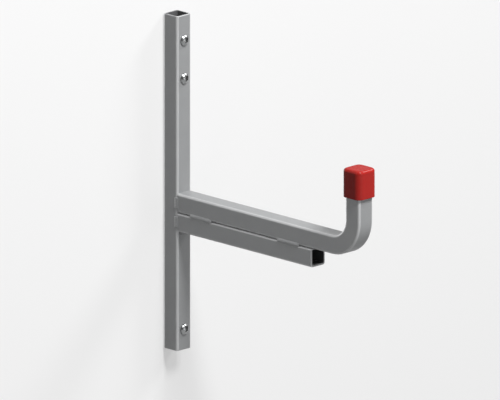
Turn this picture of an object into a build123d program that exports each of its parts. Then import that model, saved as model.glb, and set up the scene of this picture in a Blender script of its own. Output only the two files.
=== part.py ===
from build123d import *
from math import asin, cos, radians, sin, sqrt
import os

# Wall bracket for a shelf board: an upright of square steel tube screwed to the wall, with a
# bent hook of the same tube welded to it on a shorter support arm. Millimetres, +Z up, +Y into
# the wall. The origin is on the wall, midway across the tube, level with the hook's top face,
# on which the board lies.

# Square tube, the same for all three arms
tube_width = 16.0
tube_wall = 1.5
tube_inner_corner = 0.5
seam_width = 1.6
seam_height = 0.35
seam_flank_angle = 45.0
end_chamfer = 0.3

# Upright
upright_length = 280.0
bearing_height = 132.0

# Hook and support arm
clear_depth = 191.5
hook_bend_radius = 24.0
lip_height = 57.5
support_length = 152.5

# Wall screws and their holes
thread_diameter = 4.5
thread_length = 40.0
shank_diameter = 3.4
screw_length = 60.0
screw_tip_length = 6.0
screw_head_diameter = 8.8
screw_head_height = 3.0
screw_rim_height = 0.9
recess_depth = 1.7
recess_span = 4.6
recess_bottom_span = 1.8
recess_slot_width = 1.0
screw_hole_clearance = 0.3
top_hole_from_end = 21.0
top_hole_spacing = 32.0
bottom_hole_from_end = 17.0

# Push-on end cap
cap_length = 24.0
cap_wall = 2.25
cap_top_thickness = 2.0
cap_clearance = 0.25
cap_corner_radius = 5.5
cap_edge_radius = 2.6
cap_mouth_edge = 0.4
cap_mouth_chamfer = 0.5
cap_rib_width = 1.2
cap_rib_spacing = 7.0
cap_rib_length = 16.0

# Weld beads
fillet_weld_leg = 3.0
weld_crown = 0.7
weld_lap = 1.4
weld_root_angle = 30.0
side_weld_margin = 2.5
stitch_length = 25.0
stitch_inset = 14.0

# Sizes that follow from those above
half_width = tube_width / 2
tube_corner = tube_wall + tube_inner_corner
upright_axis_y = -half_width
upright_face_y = -tube_width
upright_bottom_z = -bearing_height
upright_top_z = upright_length - bearing_height
hook_axis_z = -half_width
hook_bottom_z = -tube_width
support_axis_z = -1.5 * tube_width
support_bottom_z = -2 * tube_width
support_end_y = upright_face_y - support_length
lip_axis_y = upright_face_y - clear_depth - half_width
bend_centre_y = lip_axis_y + hook_bend_radius
bend_centre_z = hook_axis_z + hook_bend_radius
screw_levels = {
    "top": upright_top_z - top_hole_from_end,
    "upper": upright_top_z - top_hole_from_end - top_hole_spacing,
    "bottom": upright_bottom_z + bottom_hole_from_end,
}
sides = {"left": -1, "right": 1}


def tube_section():
    """Wall of the rolled tube, with the low ridge that its welded seam leaves inside. The
    bore's tight corners are small flats."""
    bore_width = tube_width - 2 * tube_wall
    outside = RectangleRounded(tube_width, tube_width, tube_corner)
    bore = chamfer(Rectangle(bore_width, bore_width).vertices(), tube_inner_corner)
    seam_base = (Align.CENTER, Align.MIN)
    seam = Trapezoid(seam_width, seam_height, seam_flank_angle, align=seam_base)
    return outside - bore + Pos(0, -bore_width / 2) * seam


def chamfered_end(end_face):
    """The end's tube with the outer edges of that sawn end broken."""
    return chamfer(end_face.outer_wire().edges(), end_chamfer)


def upright():
    start = Plane(
        origin=(0, upright_axis_y, upright_bottom_z), x_dir=(-1, 0, 0), z_dir=(0, 0, 1)
    )
    tube = extrude(start * tube_section(), upright_length)
    tube = chamfered_end(tube.faces().sort_by(Axis.Z)[0])
    tube = chamfered_end(tube.faces().sort_by(Axis.Z)[-1])
    hole_radius = thread_diameter / 2 + screw_hole_clearance
    for level in screw_levels.values():
        place = Plane(origin=(0, upright_axis_y, level), z_dir=(0, 1, 0))
        tube -= place * Cylinder(hole_radius, 2 * tube_width)
    return tube


def support_arm():
    start = Plane(
        origin=(0, upright_face_y, support_axis_z), x_dir=(1, 0, 0), z_dir=(0, -1, 0)
    )
    tube = extrude(start * tube_section(), support_length)
    return chamfered_end(tube.faces().sort_by(Axis.Y)[0])


def hook_arm():
    """Straight run, quarter bend and lip, bent from one length of tube."""
    root = Plane(
        origin=(0, upright_face_y, hook_axis_z), x_dir=(1, 0, 0), z_dir=(0, -1, 0)
    )
    run = extrude(root * tube_section(), upright_face_y - bend_centre_y)
    bend_start = Plane(
        origin=(0, bend_centre_y, hook_axis_z), x_dir=(1, 0, 0), z_dir=(0, -1, 0)
    )
    bend_axis = Axis((0, bend_centre_y, bend_centre_z), (-1, 0, 0))
    bend = revolve(bend_start * tube_section(), bend_axis, 90)
    lip_start = Plane(
        origin=(0, lip_axis_y, bend_centre_z), x_dir=(1, 0, 0), z_dir=(0, 0, 1)
    )
    lip = extrude(lip_start * tube_section(), lip_height - bend_centre_z)
    hook = run + bend + lip
    return chamfered_end(hook.faces().sort_by(Axis.Z)[-1])


def end_cap():
    """Moulded cap that grips the lip with two crush ribs on each inner wall."""
    bore_width = tube_width + 2 * cap_clearance
    outer_width = bore_width + 2 * cap_wall
    bore_corner = tube_corner + cap_clearance
    bore_depth = cap_length - cap_top_thickness
    mouth = Pos(0, lip_axis_y, lip_height - bore_depth)
    outline = RectangleRounded(outer_width, outer_width, cap_corner_radius)
    body = extrude(outline, cap_length)
    body = fillet(body.faces().sort_by(Axis.Z)[-1].edges(), cap_edge_radius)
    body = chamfer(body.faces().sort_by(Axis.Z)[0].edges(), cap_mouth_edge)
    bore = extrude(RectangleRounded(bore_width, bore_width, bore_corner), bore_depth)
    body -= bore
    mouth_edges = body.faces().sort_by(Axis.Z)[0].inner_wires()[0].edges()
    body = chamfer(mouth_edges, cap_mouth_chamfer)
    rib = Pos(0, (bore_width - cap_clearance) / 2, bore_depth - cap_rib_length / 2) * Box(
        cap_rib_width, cap_clearance, cap_rib_length
    )
    for quarter_turn in range(4):
        for side in (-1, 1):
            body += Rot(0, 0, 90 * quarter_turn) * Pos(side * cap_rib_spacing / 2) * rib
    return mouth * body


def cross_recess():
    """Driver recess: a cross cut that narrows to its floor."""
    cone = Cone(recess_bottom_span / 2, recess_span / 2, recess_depth)
    slot = Box(recess_span, recess_slot_width, recess_depth)
    return cone & (slot + Rot(0, 0, 90) * slot)


def wall_screw(level):
    """Round-head screw through both walls of the upright, its head against the front wall."""
    head_radius = screw_head_diameter / 2
    thread_radius = thread_diameter / 2
    shank_radius = shank_diameter / 2
    dome_height = screw_head_height - screw_rim_height
    dome_radius = (head_radius**2 + dome_height**2) / (2 * dome_height)
    half_angle = asin(head_radius / dome_radius) / 2
    dome_middle = (
        dome_radius * sin(half_angle),
        screw_head_height - dome_radius * (1 - cos(half_angle)),
    )
    dome = ThreePointArc((0, screw_head_height), dome_middle, (head_radius, screw_rim_height))
    edge = Polyline(
        (head_radius, screw_rim_height),
        (head_radius, 0),
        (shank_radius, 0),
        (shank_radius, thread_length - screw_length),
        (thread_radius, thread_length - screw_length),
        (thread_radius, screw_tip_length - screw_length),
        (0, -screw_length),
        (0, screw_head_height),
    )
    profile = make_face([dome, edge])
    screw = revolve(Plane.XZ * profile, Axis.Z)
    screw -= Pos(0, 0, screw_head_height - recess_depth / 2) * cross_recess()
    return Plane(origin=(0, upright_face_y, level), z_dir=(0, -1, 0)) * screw


def bottom_weld():
    """Fillet bead across the front of the upright, under the support arm's root."""
    middle = fillet_weld_leg / 2 + weld_crown / sqrt(2)
    corner = (upright_face_y, support_bottom_z)
    foot = (upright_face_y - fillet_weld_leg, support_bottom_z)
    crest = (upright_face_y - middle, support_bottom_z - middle)
    head = (upright_face_y, support_bottom_z - fillet_weld_leg)
    face = make_face([Line(head, corner), Line(corner, foot), ThreePointArc(foot, crest, head)])
    bead_width = tube_width - 2 * tube_corner
    return extrude(Plane.YZ * face, bead_width / 2, both=True)


def corner_root():
    """Where a bead's root meets a tube's rounded corner, measured from the corner's flats."""
    angle = radians(weld_root_angle)
    return tube_corner * (1 - sin(angle)), tube_corner * (1 - cos(angle))


def side_weld(side, arm_axis_z):
    """Bead in the flared groove between an arm's end and the upright's rounded edge."""
    inset, gap = corner_root()
    half_corner = tube_corner * (1 - sqrt(0.5))
    root = (half_width - inset, upright_face_y + gap)
    root_on_arm = (half_width - inset, upright_face_y)
    corner_middle = (half_width - half_corner, upright_face_y + half_corner)
    corner_end = (half_width, upright_face_y + tube_corner)
    back = (half_width, upright_face_y + tube_corner + weld_lap)
    front = (half_width, upright_face_y - weld_lap)
    crest = (half_width + weld_crown, (back[1] + front[1]) / 2)
    face = make_face(
        [
            Line(root_on_arm, root),
            ThreePointArc(root, corner_middle, corner_end),
            Line(corner_end, back),
            ThreePointArc(back, crest, front),
            Line(front, (half_width, upright_face_y)),
            Line((half_width, upright_face_y), root_on_arm),
        ]
    )
    height = tube_width - 2 * side_weld_margin
    bead = Pos(0, 0, arm_axis_z - height / 2) * extrude(face, height)
    return bead if side > 0 else mirror(bead, Plane.YZ)


def stitch_weld(side, middle_y):
    """Short bead in the groove between the hook and the support arm under it."""
    inset, gap = corner_root()
    half_corner = tube_corner * (1 - sqrt(0.5))
    upper = [
        (half_width - inset, hook_bottom_z + gap),
        (half_width - half_corner, hook_bottom_z + half_corner),
        (half_width, hook_bottom_z + tube_corner),
    ]
    lower = [(x, 2 * hook_bottom_z - z) for x, z in upper]
    crest = (half_width + weld_crown, hook_bottom_z)
    face = make_face(
        [
            Line(lower[0], upper[0]),
            ThreePointArc(*upper),
            ThreePointArc(upper[2], crest, lower[2]),
            ThreePointArc(*reversed(lower)),
        ]
    )
    bead = extrude(Plane.XZ * face, stitch_length / 2, both=True)
    bead = Pos(0, middle_y, 0) * bead
    return bead if side > 0 else mirror(bead, Plane.YZ)


stitch_places = {
    "rear": upright_face_y - stitch_inset - stitch_length / 2,
    "front": support_end_y + stitch_inset + stitch_length / 2,
}
nodes = {
    "upright": upright(),
    "support_arm": support_arm(),
    "hook_arm": hook_arm(),
    "end_cap": end_cap(),
    "weld_bottom": bottom_weld(),
}
for name, level in screw_levels.items():
    nodes["wall_screw_" + name] = wall_screw(level)
for side_name, side in sides.items():
    nodes["weld_hook_" + side_name] = side_weld(side, hook_axis_z)
    nodes["weld_support_" + side_name] = side_weld(side, support_axis_z)
    for place, middle_y in stitch_places.items():
        nodes["stitch_weld_" + side_name + "_" + place] = stitch_weld(side, middle_y)

os.makedirs("parts", exist_ok=True)
for name, shape in nodes.items():
    export_step(shape, "parts/" + name + ".step")
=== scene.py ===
import bmesh
import bpy
import math
import random
from mathutils import Matrix, Vector


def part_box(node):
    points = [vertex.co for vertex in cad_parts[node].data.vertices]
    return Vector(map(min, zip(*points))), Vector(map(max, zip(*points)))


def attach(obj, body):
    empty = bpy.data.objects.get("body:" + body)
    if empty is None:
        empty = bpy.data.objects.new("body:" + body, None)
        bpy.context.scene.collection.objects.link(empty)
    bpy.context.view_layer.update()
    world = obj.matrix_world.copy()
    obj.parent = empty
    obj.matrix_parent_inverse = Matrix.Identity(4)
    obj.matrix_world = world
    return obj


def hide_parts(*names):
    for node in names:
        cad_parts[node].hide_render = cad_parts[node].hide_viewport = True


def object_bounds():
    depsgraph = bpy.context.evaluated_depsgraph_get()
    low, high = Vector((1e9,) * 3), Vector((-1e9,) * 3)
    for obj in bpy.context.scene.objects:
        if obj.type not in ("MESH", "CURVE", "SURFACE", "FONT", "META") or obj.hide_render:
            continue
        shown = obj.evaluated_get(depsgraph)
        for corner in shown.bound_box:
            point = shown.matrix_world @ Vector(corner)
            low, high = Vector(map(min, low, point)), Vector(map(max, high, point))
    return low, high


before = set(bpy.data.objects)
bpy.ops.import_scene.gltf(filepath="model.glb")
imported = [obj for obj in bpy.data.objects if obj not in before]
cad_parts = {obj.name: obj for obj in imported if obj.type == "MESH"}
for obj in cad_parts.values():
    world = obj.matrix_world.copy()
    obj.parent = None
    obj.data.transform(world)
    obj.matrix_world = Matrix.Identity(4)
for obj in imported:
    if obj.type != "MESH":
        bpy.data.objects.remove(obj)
cad_low, cad_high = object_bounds()

# Camera
# The bracket is seen from its front left, from a little above, with no perspective. The picture
# is centred on the whole of it, and is just tall enough for its furthest corner.
view_azimuth = math.radians(-45)
view_elevation = math.radians(15.6)
view_margin = 1.05
picture_width, picture_height = 500, 400
camera_distance = 2.0

back = Vector((
    math.sin(view_azimuth) * math.cos(view_elevation),
    -math.cos(view_azimuth) * math.cos(view_elevation),
    math.sin(view_elevation),
))
right = Vector((math.cos(view_azimuth), math.sin(view_azimuth), 0))
up = back.cross(right)
target = (cad_low + cad_high) / 2
corners = []
for node in ("upright", "hook_arm", "support_arm", "end_cap"):
    low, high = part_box(node)
    corners += [
        Vector((x, y, z)) for x in (low.x, high.x) for y in (low.y, high.y) for z in (low.z, high.z)
    ]
field_height = 2 * view_margin * max(abs((corner - target).dot(up)) for corner in corners)
camera_data = bpy.data.cameras.new("camera")
camera_data.type = "ORTHO"
camera_data.ortho_scale = field_height * picture_width / picture_height
camera = bpy.data.objects.new("camera", camera_data)
camera.location = target + back * camera_distance
camera.rotation_euler = back.to_track_quat("Z", "Y").to_euler()
bpy.context.scene.collection.objects.link(camera)
bpy.context.scene.camera = camera

# Wall, floor and light
# A near-white wall just behind the upright and a pale floor under it, both seen from their front
# alone. One soft lamp stands high in front and one high to the right, and two wide ones fill
# the front and the rear.
wall_gap = 0.0003
wall_half_width = 3.0
wall_height = 3.0
floor_drop = 0.3
wall_colour = (0.85, 0.85, 0.85, 1)
floor_colour = (0.62, 0.62, 0.62, 1)
glow_share = 0.5
lamp_distance = 3.0
# Each lamp has a direction from the bracket, a power in watts and a size in metres.
lamps = {
    "key": (Vector((-25, -215, 300)), 115, 0.9),
    "right_key": (Vector((0.68, -0.27, 0.68)), 45, 0.9),
    "front_fill": (Vector((0, -1, 0)), 20, 2.0),
    "rear_fill": (Vector((0, 1, 0)), 40, 2.0),
}
sky_strength = 0.08
sky_seen_strength = 0.95


def calculate(tree, operation, *terms):
    """A Math node in the tree. A term is a number or another node's output."""
    node = tree.nodes.new("ShaderNodeMath")
    node.operation = operation
    for socket, term in zip(node.inputs, terms):
        if isinstance(term, (int, float)):
            socket.default_value = term
        else:
            tree.links.new(term, socket)
    return node.outputs[0]


def pale_surface(name, colour):
    """Pale paint that partly glows, so that shadows on it stay light. Rays from behind it, and
    light that the bracket throws back, pass through it."""
    material = bpy.data.materials.new(name)
    material.use_nodes = True
    tree = material.node_tree
    nodes, links = tree.nodes, tree.links
    nodes.clear()
    output = nodes.new("ShaderNodeOutputMaterial")
    paint = nodes.new("ShaderNodeBsdfDiffuse")
    paint.inputs["Color"].default_value = colour
    glow = nodes.new("ShaderNodeEmission")
    glow.inputs["Color"].default_value = colour
    glowing = nodes.new("ShaderNodeMixShader")
    glowing.inputs[0].default_value = glow_share
    links.new(paint.outputs[0], glowing.inputs[1])
    links.new(glow.outputs[0], glowing.inputs[2])
    clear = nodes.new("ShaderNodeBsdfTransparent")
    rays = nodes.new("ShaderNodeLightPath")
    geometry = nodes.new("ShaderNodeNewGeometry")
    seen = calculate(tree, "MAXIMUM", rays.outputs["Is Camera Ray"], rays.outputs["Is Glossy Ray"])
    seen = calculate(tree, "MAXIMUM", seen, rays.outputs["Is Transmission Ray"])
    seen_in_front = calculate(tree, "GREATER_THAN", seen, geometry.outputs["Backfacing"])
    mix = nodes.new("ShaderNodeMixShader")
    links.new(seen_in_front, mix.inputs[0])
    links.new(clear.outputs[0], mix.inputs[1])
    links.new(glowing.outputs[0], mix.inputs[2])
    links.new(mix.outputs[0], output.inputs["Surface"])
    return material


def stage_plane(name, corner_points, material):
    mesh = bpy.data.meshes.new(name)
    mesh.from_pydata(corner_points, [], [(0, 1, 2, 3)])
    mesh.materials.append(material)
    plane = bpy.data.objects.new(name, mesh)
    bpy.context.scene.collection.objects.link(plane)


floor_z = cad_low.z - floor_drop
stage_plane(
    "wall",
    [
        (-wall_half_width, wall_gap, floor_z),
        (wall_half_width, wall_gap, floor_z),
        (wall_half_width, wall_gap, wall_height),
        (-wall_half_width, wall_gap, wall_height),
    ],
    pale_surface("near_white_wall", wall_colour),
)
stage_plane(
    "floor",
    [
        (-wall_half_width, -wall_half_width, floor_z),
        (wall_half_width, -wall_half_width, floor_z),
        (wall_half_width, wall_half_width, floor_z),
        (-wall_half_width, wall_half_width, floor_z),
    ],
    pale_surface("pale_floor", floor_colour),
)
for name, (direction, power, lamp_size) in lamps.items():
    lamp_data = bpy.data.lights.new(name, "AREA")
    lamp_data.shape = "DISK"
    lamp_data.size = lamp_size
    lamp_data.energy = power
    lamp = bpy.data.objects.new(name, lamp_data)
    lamp.location = target + direction.normalized() * lamp_distance
    lamp.rotation_euler = direction.to_track_quat("Z", "Y").to_euler()
    bpy.context.scene.collection.objects.link(lamp)

world = bpy.data.worlds.new("sky")
bpy.context.scene.world = world
world.use_nodes = True
sky_nodes, sky_links = world.node_tree.nodes, world.node_tree.links
sky_nodes.clear()
sky_output = sky_nodes.new("ShaderNodeOutputWorld")
sky_light = sky_nodes.new("ShaderNodeBackground")
sky_light.inputs["Strength"].default_value = sky_strength
sky_seen = sky_nodes.new("ShaderNodeBackground")
sky_seen.inputs["Strength"].default_value = sky_seen_strength
sky_rays = sky_nodes.new("ShaderNodeLightPath")
sky_mix = sky_nodes.new("ShaderNodeMixShader")
sky_links.new(sky_rays.outputs["Is Camera Ray"], sky_mix.inputs[0])
sky_links.new(sky_light.outputs[0], sky_mix.inputs[1])
sky_links.new(sky_seen.outputs[0], sky_mix.inputs[2])
sky_links.new(sky_mix.outputs[0], sky_output.inputs["Surface"])
bpy.context.scene.view_settings.view_transform = "Standard"

# Upright
# Welded square steel tube, sawn to length, drilled for the screws and coated in a satin grey.
# A painted highlight makes the coat paler over the tube's rounded corners and sawn edges.
# The coat doesn't reach into its bore, whose bare steel is darkened as painted shade.
mm = 0.001
tube_corner = 2.0 * mm
tube_wall = 1.5 * mm
coat_reach_at_bore = 0.9 * tube_wall
coat_colour = (0.290, 0.296, 0.302, 1)
coat_colour_patch = (0.345, 0.350, 0.354, 1)
# Painted highlight: the paler colour laid over edges and rounded corners, where light catches them.
coat_edge_highlight_colour = (0.58, 0.585, 0.59, 1)
# Bare steel inside the bore, darkened further as painted shade.
bore_steel_and_shade_colour = (0.15, 0.15, 0.155, 1)
coat_roughness = (0.40, 0.50)
coat_metallic = 0.3
# The coat has broad patches, fine flakes, and a skin that is rough like the peel of an orange.
coat_patches = {"Scale": 55.0, "Detail": 4.0}
coat_flakes = {"Scale": 5000.0, "Detail": 1.0}
coat_peel = {"Scale": 1100.0, "Detail": 2.0}
flake_tones = (-1.6, 1.6)
peel_height, peel_strength = 0.06 * mm, 0.7
# Where the painted highlight lies: near a sharp edge, and from just before a tube's rounded
# corner to half its radius in. The patches make it uneven.
edge_reach = 0.7 * mm
edge_gain = 5.0
edge_samples = 8
corner_fade = (-0.15, 0.5)
# How much the patches vary the painted highlight.
edge_highlight_spread = (0.75, 1.15)
# The saw's marks show on faces that look along the tube.
saw_facing = 0.95
saw_scale = 900.0
saw_waver = 2.0
saw_height, saw_strength = 0.05 * mm, 0.6
# A bend so far past the end of a straight tube, in metres, leaves it straight.
past_end = 1.0


def node_group(name, inputs, outputs):
    """A shader node group with number sockets: its tree, its inputs' node and its outputs'."""
    tree = bpy.data.node_groups.new(name, "ShaderNodeTree")
    for socket, value in inputs.items():
        made = tree.interface.new_socket(socket, in_out="INPUT", socket_type="NodeSocketFloat")
        made.default_value = value
    for socket in outputs:
        tree.interface.new_socket(socket, in_out="OUTPUT", socket_type="NodeSocketFloat")
    return tree, tree.nodes.new("NodeGroupInput"), tree.nodes.new("NodeGroupOutput")


def noise_field():
    """Soft patches: a value round 0.5 that changes over the surface at the given scale."""
    tree, given, result = node_group("noise_field", {"Scale": 100.0, "Detail": 3.0}, ["Value"])
    position = tree.nodes.new("ShaderNodeTexCoord")
    noise = tree.nodes.new("ShaderNodeTexNoise")
    tree.links.new(position.outputs["Object"], noise.inputs["Vector"])
    tree.links.new(given.outputs["Scale"], noise.inputs["Scale"])
    tree.links.new(given.outputs["Detail"], noise.inputs["Detail"])
    tree.links.new(noise.outputs["Fac"], result.inputs["Value"])
    return tree


def edge_mask():
    """1 on sharp edges and 0 on flats, from how far a rounded normal leaves the true one."""
    tree, given, result = node_group("edge_mask", {"Radius": 0.001, "Gain": 8.0}, ["Mask"])
    bevel = tree.nodes.new("ShaderNodeBevel")
    bevel.samples = edge_samples
    geometry = tree.nodes.new("ShaderNodeNewGeometry")
    facing = tree.nodes.new("ShaderNodeVectorMath")
    facing.operation = "DOT_PRODUCT"
    tree.links.new(given.outputs["Radius"], bevel.inputs["Radius"])
    tree.links.new(bevel.outputs["Normal"], facing.inputs[0])
    tree.links.new(geometry.outputs["Normal"], facing.inputs[1])
    away = calculate(tree, "SUBTRACT", 1, facing.outputs["Value"])
    gained = calculate(tree, "MULTIPLY", away, given.outputs["Gain"])
    tree.links.new(calculate(tree, "MINIMUM", gained, 1), result.inputs["Mask"])
    return tree


def tube_zones():
    """Masks that are 1 along a tube's rounded corners, and in its bore. The tube runs along Y
    under the given centre, turns a quarter round it, and goes on up Z in front of it."""
    tree, given, result = node_group(
        "tube_zones",
        {
            "Centre Y": 0.0,
            "Centre Z": 0.0,
            "Bend Radius": 0.024,
            "Half Width": 0.008,
            "Corner Radius": 0.002,
            "Bore Half Width": 0.0065,
        },
        ["Corner", "Bore"],
    )
    position = tree.nodes.new("ShaderNodeTexCoord")
    parts = tree.nodes.new("ShaderNodeSeparateXYZ")
    tree.links.new(position.outputs["Object"], parts.inputs[0])
    before = calculate(tree, "SUBTRACT", parts.outputs["Y"], given.outputs["Centre Y"])
    below = calculate(tree, "SUBTRACT", parts.outputs["Z"], given.outputs["Centre Z"])
    before = calculate(tree, "MINIMUM", before, 0)
    below = calculate(tree, "MINIMUM", below, 0)
    before_squared = calculate(tree, "MULTIPLY", before, before)
    below_squared = calculate(tree, "MULTIPLY", below, below)
    reach = calculate(tree, "SQRT", calculate(tree, "ADD", before_squared, below_squared))
    past_bend = calculate(tree, "SUBTRACT", reach, given.outputs["Bend Radius"])
    off_axis = calculate(tree, "ABSOLUTE", past_bend)
    sideways = calculate(tree, "ABSOLUTE", parts.outputs["X"])
    least = calculate(tree, "MINIMUM", off_axis, sideways)
    flat = calculate(tree, "SUBTRACT", given.outputs["Half Width"], given.outputs["Corner Radius"])
    beyond_flat = calculate(tree, "SUBTRACT", least, flat)
    into_corner = calculate(tree, "DIVIDE", beyond_flat, given.outputs["Corner Radius"])
    fade = tree.nodes.new("ShaderNodeMapRange")
    fade.interpolation_type = "SMOOTHSTEP"
    fade.inputs["From Min"].default_value, fade.inputs["From Max"].default_value = corner_fade
    tree.links.new(into_corner, fade.inputs["Value"])
    tree.links.new(fade.outputs["Result"], result.inputs["Corner"])
    most = calculate(tree, "MAXIMUM", off_axis, sideways)
    inside = calculate(tree, "LESS_THAN", most, given.outputs["Bore Half Width"])
    tree.links.new(inside, result.inputs["Bore"])
    return tree


def saw_marks():
    """Fine slanting lines on the faces that look along the given axis, and 0.5 elsewhere."""
    tree, given, result = node_group(
        "saw_marks", {"Along Y": 0.0, "Along Z": 0.0, "Scale": 900.0}, ["Height"]
    )
    surface = tree.nodes.new("ShaderNodeTexCoord")
    facing = tree.nodes.new("ShaderNodeSeparateXYZ")
    tree.links.new(surface.outputs["Normal"], facing.inputs[0])
    along_y = calculate(tree, "MULTIPLY", facing.outputs["Y"], given.outputs["Along Y"])
    along_z = calculate(tree, "MULTIPLY", facing.outputs["Z"], given.outputs["Along Z"])
    along = calculate(tree, "ABSOLUTE", calculate(tree, "ADD", along_y, along_z))
    on_end = calculate(tree, "GREATER_THAN", along, saw_facing)
    lines = tree.nodes.new("ShaderNodeTexWave")
    lines.bands_direction = "DIAGONAL"
    for socket in ("Distortion", "Detail", "Detail Scale"):
        lines.inputs[socket].default_value = saw_waver
    tree.links.new(surface.outputs["Object"], lines.inputs["Vector"])
    tree.links.new(given.outputs["Scale"], lines.inputs["Scale"])
    level = 0.5
    depth = calculate(tree, "SUBTRACT", lines.outputs["Fac"], level)
    height = calculate(tree, "ADD", calculate(tree, "MULTIPLY", depth, on_end), level)
    tree.links.new(height, result.inputs["Height"])
    return tree


noise_group = noise_field()
edge_group = edge_mask()
tube_group = tube_zones()
saw_group = saw_marks()


def placed(material, tree, values):
    """The node group in the material, with its own values: its outputs."""
    node = material.node_tree.nodes.new("ShaderNodeGroup")
    node.node_tree = tree
    for socket, value in values.items():
        node.inputs[socket].default_value = value
    return node.outputs


def blend_colours(material, factor, low, high):
    """Mix of two colours. Each is a plain colour or another node's output."""
    mix = material.node_tree.nodes.new("ShaderNodeMix")
    mix.data_type = "RGBA"
    for name, colour in (("A", low), ("B", high)):
        socket = [s for s in mix.inputs if s.name == name and s.type == "RGBA"][0]
        if isinstance(colour, tuple):
            socket.default_value = colour
        else:
            material.node_tree.links.new(colour, socket)
    material.node_tree.links.new(factor, mix.inputs["Factor"])
    return [s for s in mix.outputs if s.type == "RGBA"][0]


def spread(material, factor, low, high):
    """The factor, from 0 to 1, spread over the range from low to high."""
    node = material.node_tree.nodes.new("ShaderNodeMapRange")
    node.inputs["To Min"].default_value = low
    node.inputs["To Max"].default_value = high
    material.node_tree.links.new(factor, node.inputs["Value"])
    return node.outputs["Result"]


def bumped(material, height, distance, strength, under=None):
    """The surface's normal with the height's relief, over the relief of the normal under it."""
    node = material.node_tree.nodes.new("ShaderNodeBump")
    node.inputs["Distance"].default_value = distance
    node.inputs["Strength"].default_value = strength
    material.node_tree.links.new(height, node.inputs["Height"])
    if under:
        material.node_tree.links.new(under, node.inputs["Normal"])
    return node.outputs["Normal"]


def new_material(name):
    material = bpy.data.materials.new(name)
    material.use_nodes = True
    return material, material.node_tree.nodes["Principled BSDF"], material.node_tree.links


def grey_coat(name, bend=None, sawn_along=None, edge_radius=edge_reach):
    """Satin coat with a painted highlight along its sharp edges. A tube also has a painted
    highlight along its rounded corners, and a bare bore darkened as painted shade, placed by its
    bend: the centre's Y and Z, and the radius. Sawn along is the axis of a tube whose ends show
    the saw's marks."""
    material, shader, links = new_material(name)
    tree = material.node_tree
    patches = placed(material, noise_group, coat_patches)["Value"]
    flakes = placed(material, noise_group, coat_flakes)["Value"]
    peel = placed(material, noise_group, coat_peel)["Value"]
    # Painted highlight along sharp edges, and on a tube also along its rounded corners.
    painted_edge_highlight = placed(material, edge_group, {"Radius": edge_radius, "Gain": edge_gain})["Mask"]
    if bend:
        tube = {
            "Centre Y": bend[0],
            "Centre Z": bend[1],
            "Bend Radius": bend[2],
            "Half Width": half_width,
            "Corner Radius": tube_corner,
            "Bore Half Width": half_width - coat_reach_at_bore,
        }
        zones = placed(material, tube_group, tube)
        painted_edge_highlight = calculate(tree, "MAXIMUM", painted_edge_highlight, zones["Corner"])
    painted_edge_highlight = calculate(tree, "MULTIPLY", painted_edge_highlight, spread(material, patches, *edge_highlight_spread))
    tone = calculate(tree, "ADD", patches, spread(material, flakes, *flake_tones))
    colour = blend_colours(material, tone, coat_colour, coat_colour_patch)
    # The painted highlight: the coat made paler along edges and corners.
    colour = blend_colours(material, painted_edge_highlight, colour, coat_edge_highlight_colour)
    if bend:
        # The bore: bare steel, darker than it would be, as painted shade inside the tube.
        colour = blend_colours(material, zones["Bore"], colour, bore_steel_and_shade_colour)
    links.new(colour, shader.inputs["Base Color"])
    links.new(spread(material, patches, *coat_roughness), shader.inputs["Roughness"])
    sawn = None
    if sawn_along:
        marks = placed(material, saw_group, {"Along " + sawn_along: 1.0, "Scale": saw_scale})
        sawn = bumped(material, marks["Height"], saw_height, saw_strength)
    links.new(bumped(material, peel, peel_height, peel_strength, sawn), shader.inputs["Normal"])
    shader.inputs["Metallic"].default_value = coat_metallic
    return material


def dress(node, material):
    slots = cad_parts[node].data.materials
    slots.clear()
    slots.append(material)


upright_low, upright_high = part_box("upright")
half_width = (upright_high.x - upright_low.x) / 2
upright_bend = (upright_low.y + 2 * half_width, upright_low.z - past_end, half_width)
dress("upright", grey_coat("satin_grey_coat_upright", upright_bend, sawn_along="Z"))

# Support arm
# A shorter length of the same tube, welded to the upright, which carries the hook on its back.
# Its front end is sawn and left open.
support_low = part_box("support_arm")[0]
support_bend = (support_low.y - past_end, support_low.z + 2 * half_width, half_width)
dress("support_arm", grey_coat("satin_grey_coat_support", support_bend, sawn_along="Y"))

# Hook arm
# One length of the tube with a quarter bend at its front, welded to the upright and to the
# support arm. Inside it runs the low ridge of the tube's own seam, on the bend's outer side.
tube_inner_corner = 0.5 * mm
seam_width = 1.6 * mm
seam_height = 0.35 * mm
end_chamfer = 0.3 * mm
bend_radius = 24 * mm
corner_steps = 8
bend_steps = 40
same_place = 0.0005 * mm


def turned(u, v, quarters):
    """The point turned anticlockwise about the middle by so many quarters."""
    for _ in range(quarters):
        u, v = -v, u
    return u, v


def rounded_square(half, radius, steps):
    """Points of a square with rounded corners, anticlockwise from its right side."""
    points = []
    for quarter in range(4):
        for step in range(steps + 1):
            angle = math.radians(90) * (step / steps)
            u = half - radius + radius * math.cos(angle)
            v = half - radius + radius * math.sin(angle)
            points.append(turned(u, v, quarter))
    return points


def skin(mesh_builder, rings):
    """Faces between rings of vertices, each ring closed on itself."""
    for first, second in zip(rings, rings[1:]):
        count = len(first)
        for k in range(count):
            following = (k + 1) % count
            mesh_builder.faces.new(
                (first[k], first[following], second[following], second[k])
            )


def fill_open(mesh_builder, rings):
    """Faces that close the opening inside a ring, or between two rings."""
    rim = {vertex for ring in rings for vertex in ring if vertex.is_valid}
    edges = [e for e in mesh_builder.edges if e.is_boundary and rim.issuperset(e.verts)]
    bmesh.ops.triangle_fill(mesh_builder, use_beauty=True, edges=edges)


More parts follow.
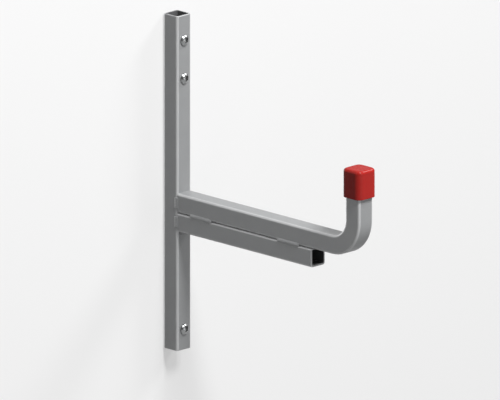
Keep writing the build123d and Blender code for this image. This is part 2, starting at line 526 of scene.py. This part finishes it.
def finish_piece(mesh_builder, name, material, node, sharp_angle=35):
    """The built mesh as a piece of the bracket, in place of the node."""
    bmesh.ops.remove_doubles(mesh_builder, verts=mesh_builder.verts[:], dist=same_place)
    bmesh.ops.recalc_face_normals(mesh_builder, faces=mesh_builder.faces[:])
    mesh = bpy.data.meshes.new(name)
    mesh_builder.to_mesh(mesh)
    mesh_builder.free()
    finish_mesh(mesh, name, material, node, sharp_angle)


def finish_mesh(mesh, name, material, node, sharp_angle=35):
    for polygon in mesh.polygons:
        polygon.use_smooth = True
    mesh.set_sharp_from_angle(angle=math.radians(sharp_angle))
    mesh.materials.clear()
    mesh.materials.append(material)
    piece = bpy.data.objects.new(name, mesh)
    bpy.context.scene.collection.objects.link(piece)
    weighted = piece.modifiers.new("flat_faces_stay_flat", "WEIGHTED_NORMAL")
    weighted.keep_sharp = True
    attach(piece, "root")
    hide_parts(node)


hook_low, hook_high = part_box("hook_arm")
run_axis_z = hook_low.z + half_width
lip_axis_y = hook_low.y + half_width
bend_centre_y = lip_axis_y + bend_radius
bend_centre_z = run_axis_z + bend_radius


def hook_stations():
    """Places along the hook's axis: its Y and Z, and how far it has turned up."""
    stations = [(hook_high.y, run_axis_z, 0.0)]
    for step in range(bend_steps + 1):
        angle = math.radians(90) * step / bend_steps
        y = bend_centre_y - bend_radius * math.sin(angle)
        z = bend_centre_z - bend_radius * math.cos(angle)
        stations.append((y, z, angle))
    stations.append((lip_axis_y, hook_high.z - end_chamfer, math.radians(90)))
    stations.append((lip_axis_y, hook_high.z, math.radians(90)))
    return stations


def tube_ring(builder, station, section, inset=0.0):
    """The section's points at the station, drawn in by the inset."""
    y, z, angle = station
    scale = 1 - inset / half_width
    ring = []
    for u, v in section:
        place = (u * scale, y + v * scale * math.sin(angle), z + v * scale * math.cos(angle))
        ring.append(builder.verts.new(place))
    return ring


def bore_section():
    """Outline of the tube's bore, with small flats in its corners. The seam's ridge is on its
    lower side, which ends at the last corner's two points."""
    bore_half = half_width - tube_wall
    foot, top = seam_width / 2, seam_width / 2 - seam_height
    ridge = [
        (-foot, -bore_half), (-top, seam_height - bore_half),
        (top, seam_height - bore_half), (foot, -bore_half),
    ]
    points = rounded_square(bore_half, tube_inner_corner, 1)
    return points[:-2] + ridge + points[-2:]


def hook_mesh():
    """The tube's outer skin, chamfered at the lip's end, and its bore."""
    builder = bmesh.new()
    outside, inside = rounded_square(half_width, tube_corner, corner_steps), bore_section()
    stations = hook_stations()
    outer_rings = [tube_ring(builder, station, outside) for station in stations[:-1]]
    outer_rings.append(tube_ring(builder, stations[-1], outside, end_chamfer))
    inner_rings = [tube_ring(builder, station, inside) for station in stations[:-2] + stations[-1:]]
    skin(builder, outer_rings)
    skin(builder, inner_rings)
    for end in (0, -1):
        fill_open(builder, (outer_rings[end], inner_rings[end]))
    return builder


coat_for_hook = grey_coat("satin_grey_coat_hook", (bend_centre_y, bend_centre_z, bend_radius))
finish_piece(hook_mesh(), "bent_hook", coat_for_hook, "hook_arm")

# Weld beads
# Short beads of the welding wire, coated with the tubes: one under the support arm's root, one
# in each groove beside the two arms' roots, and four stitches between the hook and its support.
# The bead freezes in curved ripples, and its ends are rounded.
bead_step = 0.2 * mm
bead_columns = 16
fewest_rows = 8
ripple_pitch = 1.3 * mm
ripple_height = 0.16 * mm
ripple_sweep = 1.1 * mm
bead_end_length = 1.8 * mm
least_fullness = 0.04
bead_waver = 0.06
waver_waves = 3
slowest_waver, fastest_waver = 0.48 / mm, 1.8 / mm
toe_depth = 0.06 * mm
bottom_weld_crown = 0.7 * mm
weld_root_turn = 60
groove_steps = 5
bead_sharp_angle = 60
bead_edge_reach = 0.2 * mm
# The welds' coat also has the painted highlight along its edges, in a narrow band.
coat_for_welds = grey_coat("satin_grey_coat_welds", edge_radius=bead_edge_reach)


def smooth_noise(seed):
    """A slowly changing value between -1 and 1 along the bead, the same in each run."""
    draw = random.Random(seed)
    waves = [
        (draw.uniform(slowest_waver, fastest_waver), draw.uniform(0, math.tau))
        for _ in range(waver_waves)
    ]
    return lambda s: sum(math.sin(rate * s + phase) for rate, phase in waves) / len(waves)


def weld_bead(name, root, along, across, outward, length, half_bead, crown, under, seed):
    """A bead laid from end to end along its groove. Root is the point midway along it and
    between its toes. Under is the groove's outline across the bead, from toe to toe."""
    builder = bmesh.new()
    waver = smooth_noise(seed)
    depth = -min(out for aside, out in under)
    rings = []
    rows = max(fewest_rows, round(length / bead_step))
    for row in range(rows + 1):
        s = length * row / rows
        from_end = min(s, length - s, bead_end_length)
        fullness = math.sqrt(max(0.0, 1 - (1 - from_end / bead_end_length) ** 2))
        fullness = max(fullness, least_fullness)
        width = half_bead * (1 + bead_waver * waver(s))
        section = []
        for column in range(bead_columns + 1):
            v = 2 * column / bead_columns - 1
            phase = (s + ripple_sweep * v * v) / ripple_pitch % 1
            scallop = 1 - (2 * phase - 1) ** 2
            height = (crown + ripple_height * (scallop - 1)) * (1 - v * v) - toe_depth * v * v
            section.append((v * width, height))
        section += [(aside, out - toe_depth) for aside, out in under]
        middle = root + along * (s - length / 2)
        ring = []
        for aside, out in section:
            lift = (depth + out) * fullness - depth
            ring.append(builder.verts.new(middle + across * (aside * fullness) + outward * lift))
        rings.append(ring)
    skin(builder, rings)
    builder.faces.new(rings[0])
    builder.faces.new(rings[-1])
    finish_piece(builder, name + "_bead", coat_for_welds, name, bead_sharp_angle)


def into_groove(joint):
    """Points in over a tube's rounded corner and down into the groove, beside a joint at the
    given place across the bead."""
    points = []
    for step in range(groove_steps + 1):
        angle = math.radians(weld_root_turn) * step / groove_steps
        aside = joint + tube_corner * (1 - math.sin(angle))
        points.append((aside, -tube_corner * (1 - math.cos(angle))))
    return points


axis_x, axis_y, axis_z = Vector((1, 0, 0)), Vector((0, 1, 0)), Vector((0, 0, 1))
for seed, node in enumerate(sorted(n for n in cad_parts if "weld" in n)):
    low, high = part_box(node)
    if node == "weld_bottom":
        corner = Vector((0, upright_low.y, support_low.z))
        outward = -(axis_y + axis_z).normalized()
        toe_line = (upright_low.y - low.y) / math.sqrt(2)
        weld_bead(
            node, corner + outward * toe_line, axis_x, (axis_z - axis_y).normalized(), outward,
            high.x - low.x, toe_line, bottom_weld_crown, [(0, -toe_line)], seed,
        )
        continue
    middle = (low + high) / 2
    side = -1 if "left" in node else 1
    crown = max(abs(low.x), abs(high.x)) - half_width
    root = Vector((side * half_width, middle.y, middle.z))
    if "stitch" in node:
        one_side = into_groove(0)
        under = one_side + [(-aside, out) for aside, out in reversed(one_side)]
        weld_bead(
            node, root, axis_y, axis_z, axis_x * side, high.y - low.y, (high.z - low.z) / 2,
            crown, under, seed,
        )
    else:
        half_bead = (high.y - low.y) / 2
        joint = upright_low.y - middle.y
        groove = into_groove(joint)
        under = [(half_bead, 0), *groove, (joint, groove[-1][1]), (joint, 0), (-half_bead, 0)]
        weld_bead(
            node, root, axis_z, axis_y, axis_x * side, high.z - low.z, half_bead,
            crown, under, seed,
        )

# Wall screws
# Three bright zinc-plated round-head screws with a cross recess, a plain shank and a rolled
# wood thread, driven from the front through both walls of the upright.
screw_head_height = 3.0 * mm
screw_rim = 0.9 * mm
screw_rim_round = 0.2 * mm
screw_shank = 1.7 * mm
screw_core = 1.45 * mm
screw_crest = 2.25 * mm
screw_steps = 48
dome_steps = 12
thread_pitch = 2.2 * mm
thread_start = 20 * mm
thread_end_turns = 2.5
thread_ridge = 0.20
thread_crest = 0.25
rows_per_pitch = 16
tip_length = 6 * mm
tip_curve = 0.7
recess_depth = 1.7 * mm
recess_span = 4.6 * mm
recess_bottom_span = 1.8 * mm
recess_slot = 1.0 * mm
recess_bars = 2
cutter_lift = 0.5 * mm
zinc_colour = (0.27, 0.28, 0.29, 1)
zinc_colour_patch = (0.35, 0.355, 0.35, 1)
zinc_roughness = (0.24, 0.33)
zinc_patches = {"Scale": 500.0, "Detail": 3.0}
zinc_scratches = {"Scale": 3000.0, "Detail": 2.0}
scratch_height, scratch_strength = 0.01 * mm, 0.25
# Each screw was driven until it held, so its recess stands at its own angle, in degrees.
screw_turns = {"bottom": 57, "top": 52, "upper": 64}


def zinc_plate():
    material, shader, links = new_material("bright_zinc_plate")
    patches = placed(material, noise_group, zinc_patches)["Value"]
    scratches = placed(material, noise_group, zinc_scratches)["Value"]
    colour = blend_colours(material, patches, zinc_colour, zinc_colour_patch)
    links.new(colour, shader.inputs["Base Color"])
    links.new(spread(material, patches, *zinc_roughness), shader.inputs["Roughness"])
    relief = bumped(material, scratches, scratch_height, scratch_strength)
    links.new(relief, shader.inputs["Normal"])
    shader.inputs["Metallic"].default_value = 1.0
    return material


def head_profile(radius, height):
    """Radius and height above the seat, from the dome's first ring to the foot of its rim."""
    rise = height - screw_rim
    ball = (radius * radius + rise * rise) / (2 * rise)
    half_angle = math.asin(radius / ball)
    profile = []
    for step in range(1, dome_steps + 1):
        angle = half_angle * step / dome_steps
        profile.append((ball * math.sin(angle), height - ball * (1 - math.cos(angle))))
    profile += [(radius, screw_rim_round), (radius - screw_rim_round, 0.0)]
    return profile


def thread_radius(depth, height, turns_in, turns_left, length):
    """Radius at a depth below the seat. Height goes from 0 to 1 across the profile of one turn.
    The ridge rises and dies away along the thread, and its core tapers to the tip."""
    below_shank = min(1.0, (depth - thread_start) / thread_pitch)
    core = screw_shank + (screw_core - screw_shank) * below_shank
    taper = min(1.0, (length - depth) / tip_length)
    flank = (1 - abs(2 * height - 1) / (2 * thread_ridge)) / (1 - thread_crest)
    ridge = min(1.0, max(0.0, flank)) * min(1.0, turns_in, turns_left / thread_end_turns)
    return core * taper ** tip_curve + (screw_crest - screw_core) * ridge


def recess_cutter(head_height, turn):
    """One bar of the driver recess: as wide as its slot, and shorter towards its floor."""
    cutter = bmesh.new()
    slope = (recess_span - recess_bottom_span) / 2 / recess_depth
    levels = (
        (head_height - recess_depth, recess_bottom_span / 2),
        (head_height + cutter_lift, recess_span / 2 + slope * cutter_lift),
    )
    rings = []
    for height, reach in levels:
        slot_corners = (
            (reach, recess_slot / 2), (-reach, recess_slot / 2),
            (-reach, -recess_slot / 2), (reach, -recess_slot / 2),
        )
        rings.append([cutter.verts.new((x, y, height)) for x, y in slot_corners])
    skin(cutter, rings)
    cutter.faces.new(rings[0])
    cutter.faces.new(rings[1])
    bmesh.ops.recalc_face_normals(cutter, faces=cutter.faces[:])
    bmesh.ops.rotate(
        cutter, cent=(0, 0, 0), matrix=Matrix.Rotation(turn, 3, "Z"), verts=cutter.verts[:]
    )
    mesh = bpy.data.meshes.new("recess_cutter")
    cutter.to_mesh(mesh)
    cutter.free()
    tool = bpy.data.objects.new("recess_cutter", mesh)
    bpy.context.scene.collection.objects.link(tool)
    return tool


def add_thread(builder, shank_ring, length):
    """Rows of vertices that run down with the thread. Where a row has gone once round, it meets
    the row that began one pitch below it, so the thread has a turn less than there is room for."""
    row_height = thread_pitch / rows_per_pitch
    turns = int((length - thread_start - row_height) / thread_pitch) - 1
    rows = []
    for row in range(turns * rows_per_pitch + 1):
        turn, level = divmod(row, rows_per_pitch)
        ring = []
        for k in range(screw_steps):
            share = k / screw_steps
            depth = thread_start + row_height * (row + 1) + thread_pitch * share
            turns_in = turn + share
            radius = thread_radius(depth, level / rows_per_pitch, turns_in, turns - turns_in, length)
            angle = math.tau * share
            place = (radius * math.cos(angle), radius * math.sin(angle), -depth)
            ring.append(builder.verts.new(place))
        rows.append(ring)
    for ring, following in zip([shank_ring, *rows], rows):
        for k in range(screw_steps - 1):
            builder.faces.new((ring[k], ring[k + 1], following[k + 1], following[k]))
    for row in range(len(rows) - 1 - rows_per_pitch):
        lower = row + rows_per_pitch
        builder.faces.new((rows[row][-1], rows[lower][0], rows[lower + 1][0], rows[row + 1][-1]))
    start_column = [ring[0] for ring in rows[:rows_per_pitch + 1]]
    builder.faces.new([shank_ring[-1], shank_ring[0], *start_column, rows[0][-1]])


def screw_mesh(head_radius, head_height, length):
    """A whole screw with its axis up Z and its seat at the origin."""
    builder = bmesh.new()
    profile = head_profile(head_radius, head_height)
    profile += [(screw_shank, 0.0), (screw_shank, -thread_start)]
    angles = [math.tau * k / screw_steps for k in range(screw_steps)]
    rings = []
    for radius, z in profile:
        rings.append(
            [builder.verts.new((radius * math.cos(a), radius * math.sin(a), z)) for a in angles]
        )
    skin(builder, rings)
    add_thread(builder, rings[-1], length)
    for end in (head_height, -length):
        open_edges = [e for e in builder.edges if e.is_boundary and e.verts[0].co.z * end > 0]
        pole = builder.verts.new((0, 0, end))
        for edge in open_edges:
            builder.faces.new((*edge.verts, pole))
    bmesh.ops.recalc_face_normals(builder, faces=builder.faces[:])
    mesh = bpy.data.meshes.new("screw")
    builder.to_mesh(mesh)
    builder.free()
    blank = bpy.data.objects.new("screw_blank", mesh)
    bpy.context.scene.collection.objects.link(blank)
    tools = [recess_cutter(head_height, math.radians(90) * k) for k in range(recess_bars)]
    for tool in tools:
        cut = blank.modifiers.new("recess", "BOOLEAN")
        cut.operation = "DIFFERENCE"
        cut.solver = "EXACT"
        cut.object = tool
    bpy.context.view_layer.update()
    depsgraph = bpy.context.evaluated_depsgraph_get()
    result = bpy.data.meshes.new_from_object(blank.evaluated_get(depsgraph))
    for helper in [blank, *tools]:
        bpy.data.objects.remove(helper)
    return result


zinc = zinc_plate()
screw_nodes = sorted(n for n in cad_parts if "screw" in n)
low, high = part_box(screw_nodes[0])
seat_y = upright_low.y
one_screw = screw_mesh((high.x - low.x) / 2, screw_head_height, high.y - seat_y)
for node in screw_nodes:
    low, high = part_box(node)
    mesh = one_screw.copy()
    turn = Matrix.Rotation(math.radians(screw_turns[node.rsplit("_", 1)[1]]), 4, "Z")
    lay = Matrix.Rotation(math.radians(90), 4, "X")
    place = Matrix.Translation(Vector((0, seat_y, (low.z + high.z) / 2)))
    mesh.transform(place @ lay @ turn)
    finish_mesh(mesh, node + "_threaded", zinc, node)

# End cap
# A red moulded plastic cap pushed over the hook's sawn end, glossy, rounded at its edges, with
# crush ribs inside that grip the tube.
cap_corner = 5.5 * mm
cap_edge = 2.6 * mm
cap_mouth_round = 0.4 * mm
cap_mouth_chamfer = 0.5 * mm
cap_top_thickness = 2.0 * mm
cap_clearance = 0.25 * mm
cap_rib_width = 1.2 * mm
cap_rib_spacing = 7.0 * mm
cap_rib_length = 16 * mm
cap_corner_steps = 12
cap_edge_steps = 8
cap_mouth_steps = 3
cap_colour = (0.34, 0.017, 0.014, 1)
cap_colour_patch = (0.38, 0.022, 0.018, 1)
cap_roughness = (0.34, 0.42)
cap_gloss, cap_gloss_roughness = 0.25, 0.2
cap_patches = {"Scale": 180.0, "Detail": 3.0}
cap_skin = {"Scale": 900.0, "Detail": 1.0}
cap_skin_height, cap_skin_strength = 0.02 * mm, 0.2


def cap_plastic():
    """Red plastic whose whole gloss is the faint shine of its moulded skin."""
    material, shader, links = new_material("red_moulded_plastic")
    patches = placed(material, noise_group, cap_patches)["Value"]
    moulded = placed(material, noise_group, cap_skin)["Value"]
    colour = blend_colours(material, patches, cap_colour, cap_colour_patch)
    links.new(colour, shader.inputs["Base Color"])
    links.new(spread(material, patches, *cap_roughness), shader.inputs["Roughness"])
    relief = bumped(material, moulded, cap_skin_height, cap_skin_strength)
    links.new(relief, shader.inputs["Normal"])
    shader.inputs["Specular IOR Level"].default_value = 0.0
    shader.inputs["Coat Weight"].default_value = cap_gloss
    shader.inputs["Coat Roughness"].default_value = cap_gloss_roughness
    return material


def cap_bore_section(inset, rib_height):
    """Outline of the bore, drawn in all round by the inset, with two ribs on each wall."""
    bore_half = half_width + cap_clearance - inset
    bore_corner = tube_corner + cap_clearance - inset
    rounded = rounded_square(bore_half, bore_corner, cap_corner_steps)
    points = []
    for quarter in range(4):
        first = quarter * (cap_corner_steps + 1)
        points += rounded[first:first + cap_corner_steps + 1]
        for side in (1, -1):
            for edge, height in ((1, 0), (1, rib_height), (-1, rib_height), (-1, 0)):
                u = side * cap_rib_spacing / 2 + edge * cap_rib_width / 2
                points.append(turned(u, bore_half - height, quarter))
    return points


def cap_mesh():
    """The cap's outside, from its rounded mouth to its rounded top, and its ribbed bore."""
    builder = bmesh.new()
    low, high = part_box("end_cap")
    half = (high.x - low.x) / 2
    roof_z = high.z - cap_top_thickness
    outer = []
    for step in range(cap_mouth_steps + 1):
        angle = math.radians(90) * step / cap_mouth_steps
        inset = cap_mouth_round * (1 - math.sin(angle))
        outer.append((inset, low.z + cap_mouth_round * (1 - math.cos(angle))))
    for step in range(cap_edge_steps + 1):
        angle = math.radians(90) * step / cap_edge_steps
        inset = cap_edge * (1 - math.cos(angle))
        outer.append((inset, high.z - cap_edge + cap_edge * math.sin(angle)))
    inner = [
        (-cap_mouth_chamfer, 0.0, low.z),
        (0.0, 0.0, low.z + cap_mouth_chamfer),
        (0.0, 0.0, roof_z - cap_rib_length),
        (0.0, cap_clearance, roof_z - cap_rib_length),
        (0.0, cap_clearance, roof_z),
    ]

    def ring(section, z):
        return [builder.verts.new((u, lip_axis_y + v, z)) for u, v in section]

    inner_rings = [ring(cap_bore_section(inset, rib), z) for inset, rib, z in inner]
    outer_rings = [
        ring(rounded_square(half - inset, cap_corner - inset, cap_corner_steps), z)
        for inset, z in outer
    ]
    skin(builder, inner_rings)
    skin(builder, outer_rings)
    bmesh.ops.remove_doubles(builder, verts=builder.verts[:], dist=same_place)
    fill_open(builder, (inner_rings[0], outer_rings[0]))
    builder.faces.new([vertex for vertex in outer_rings[-1] if vertex.is_valid])
    fill_open(builder, [inner_rings[-1]])
    return builder


finish_piece(cap_mesh(), "red_cap", cap_plastic(), "end_cap")
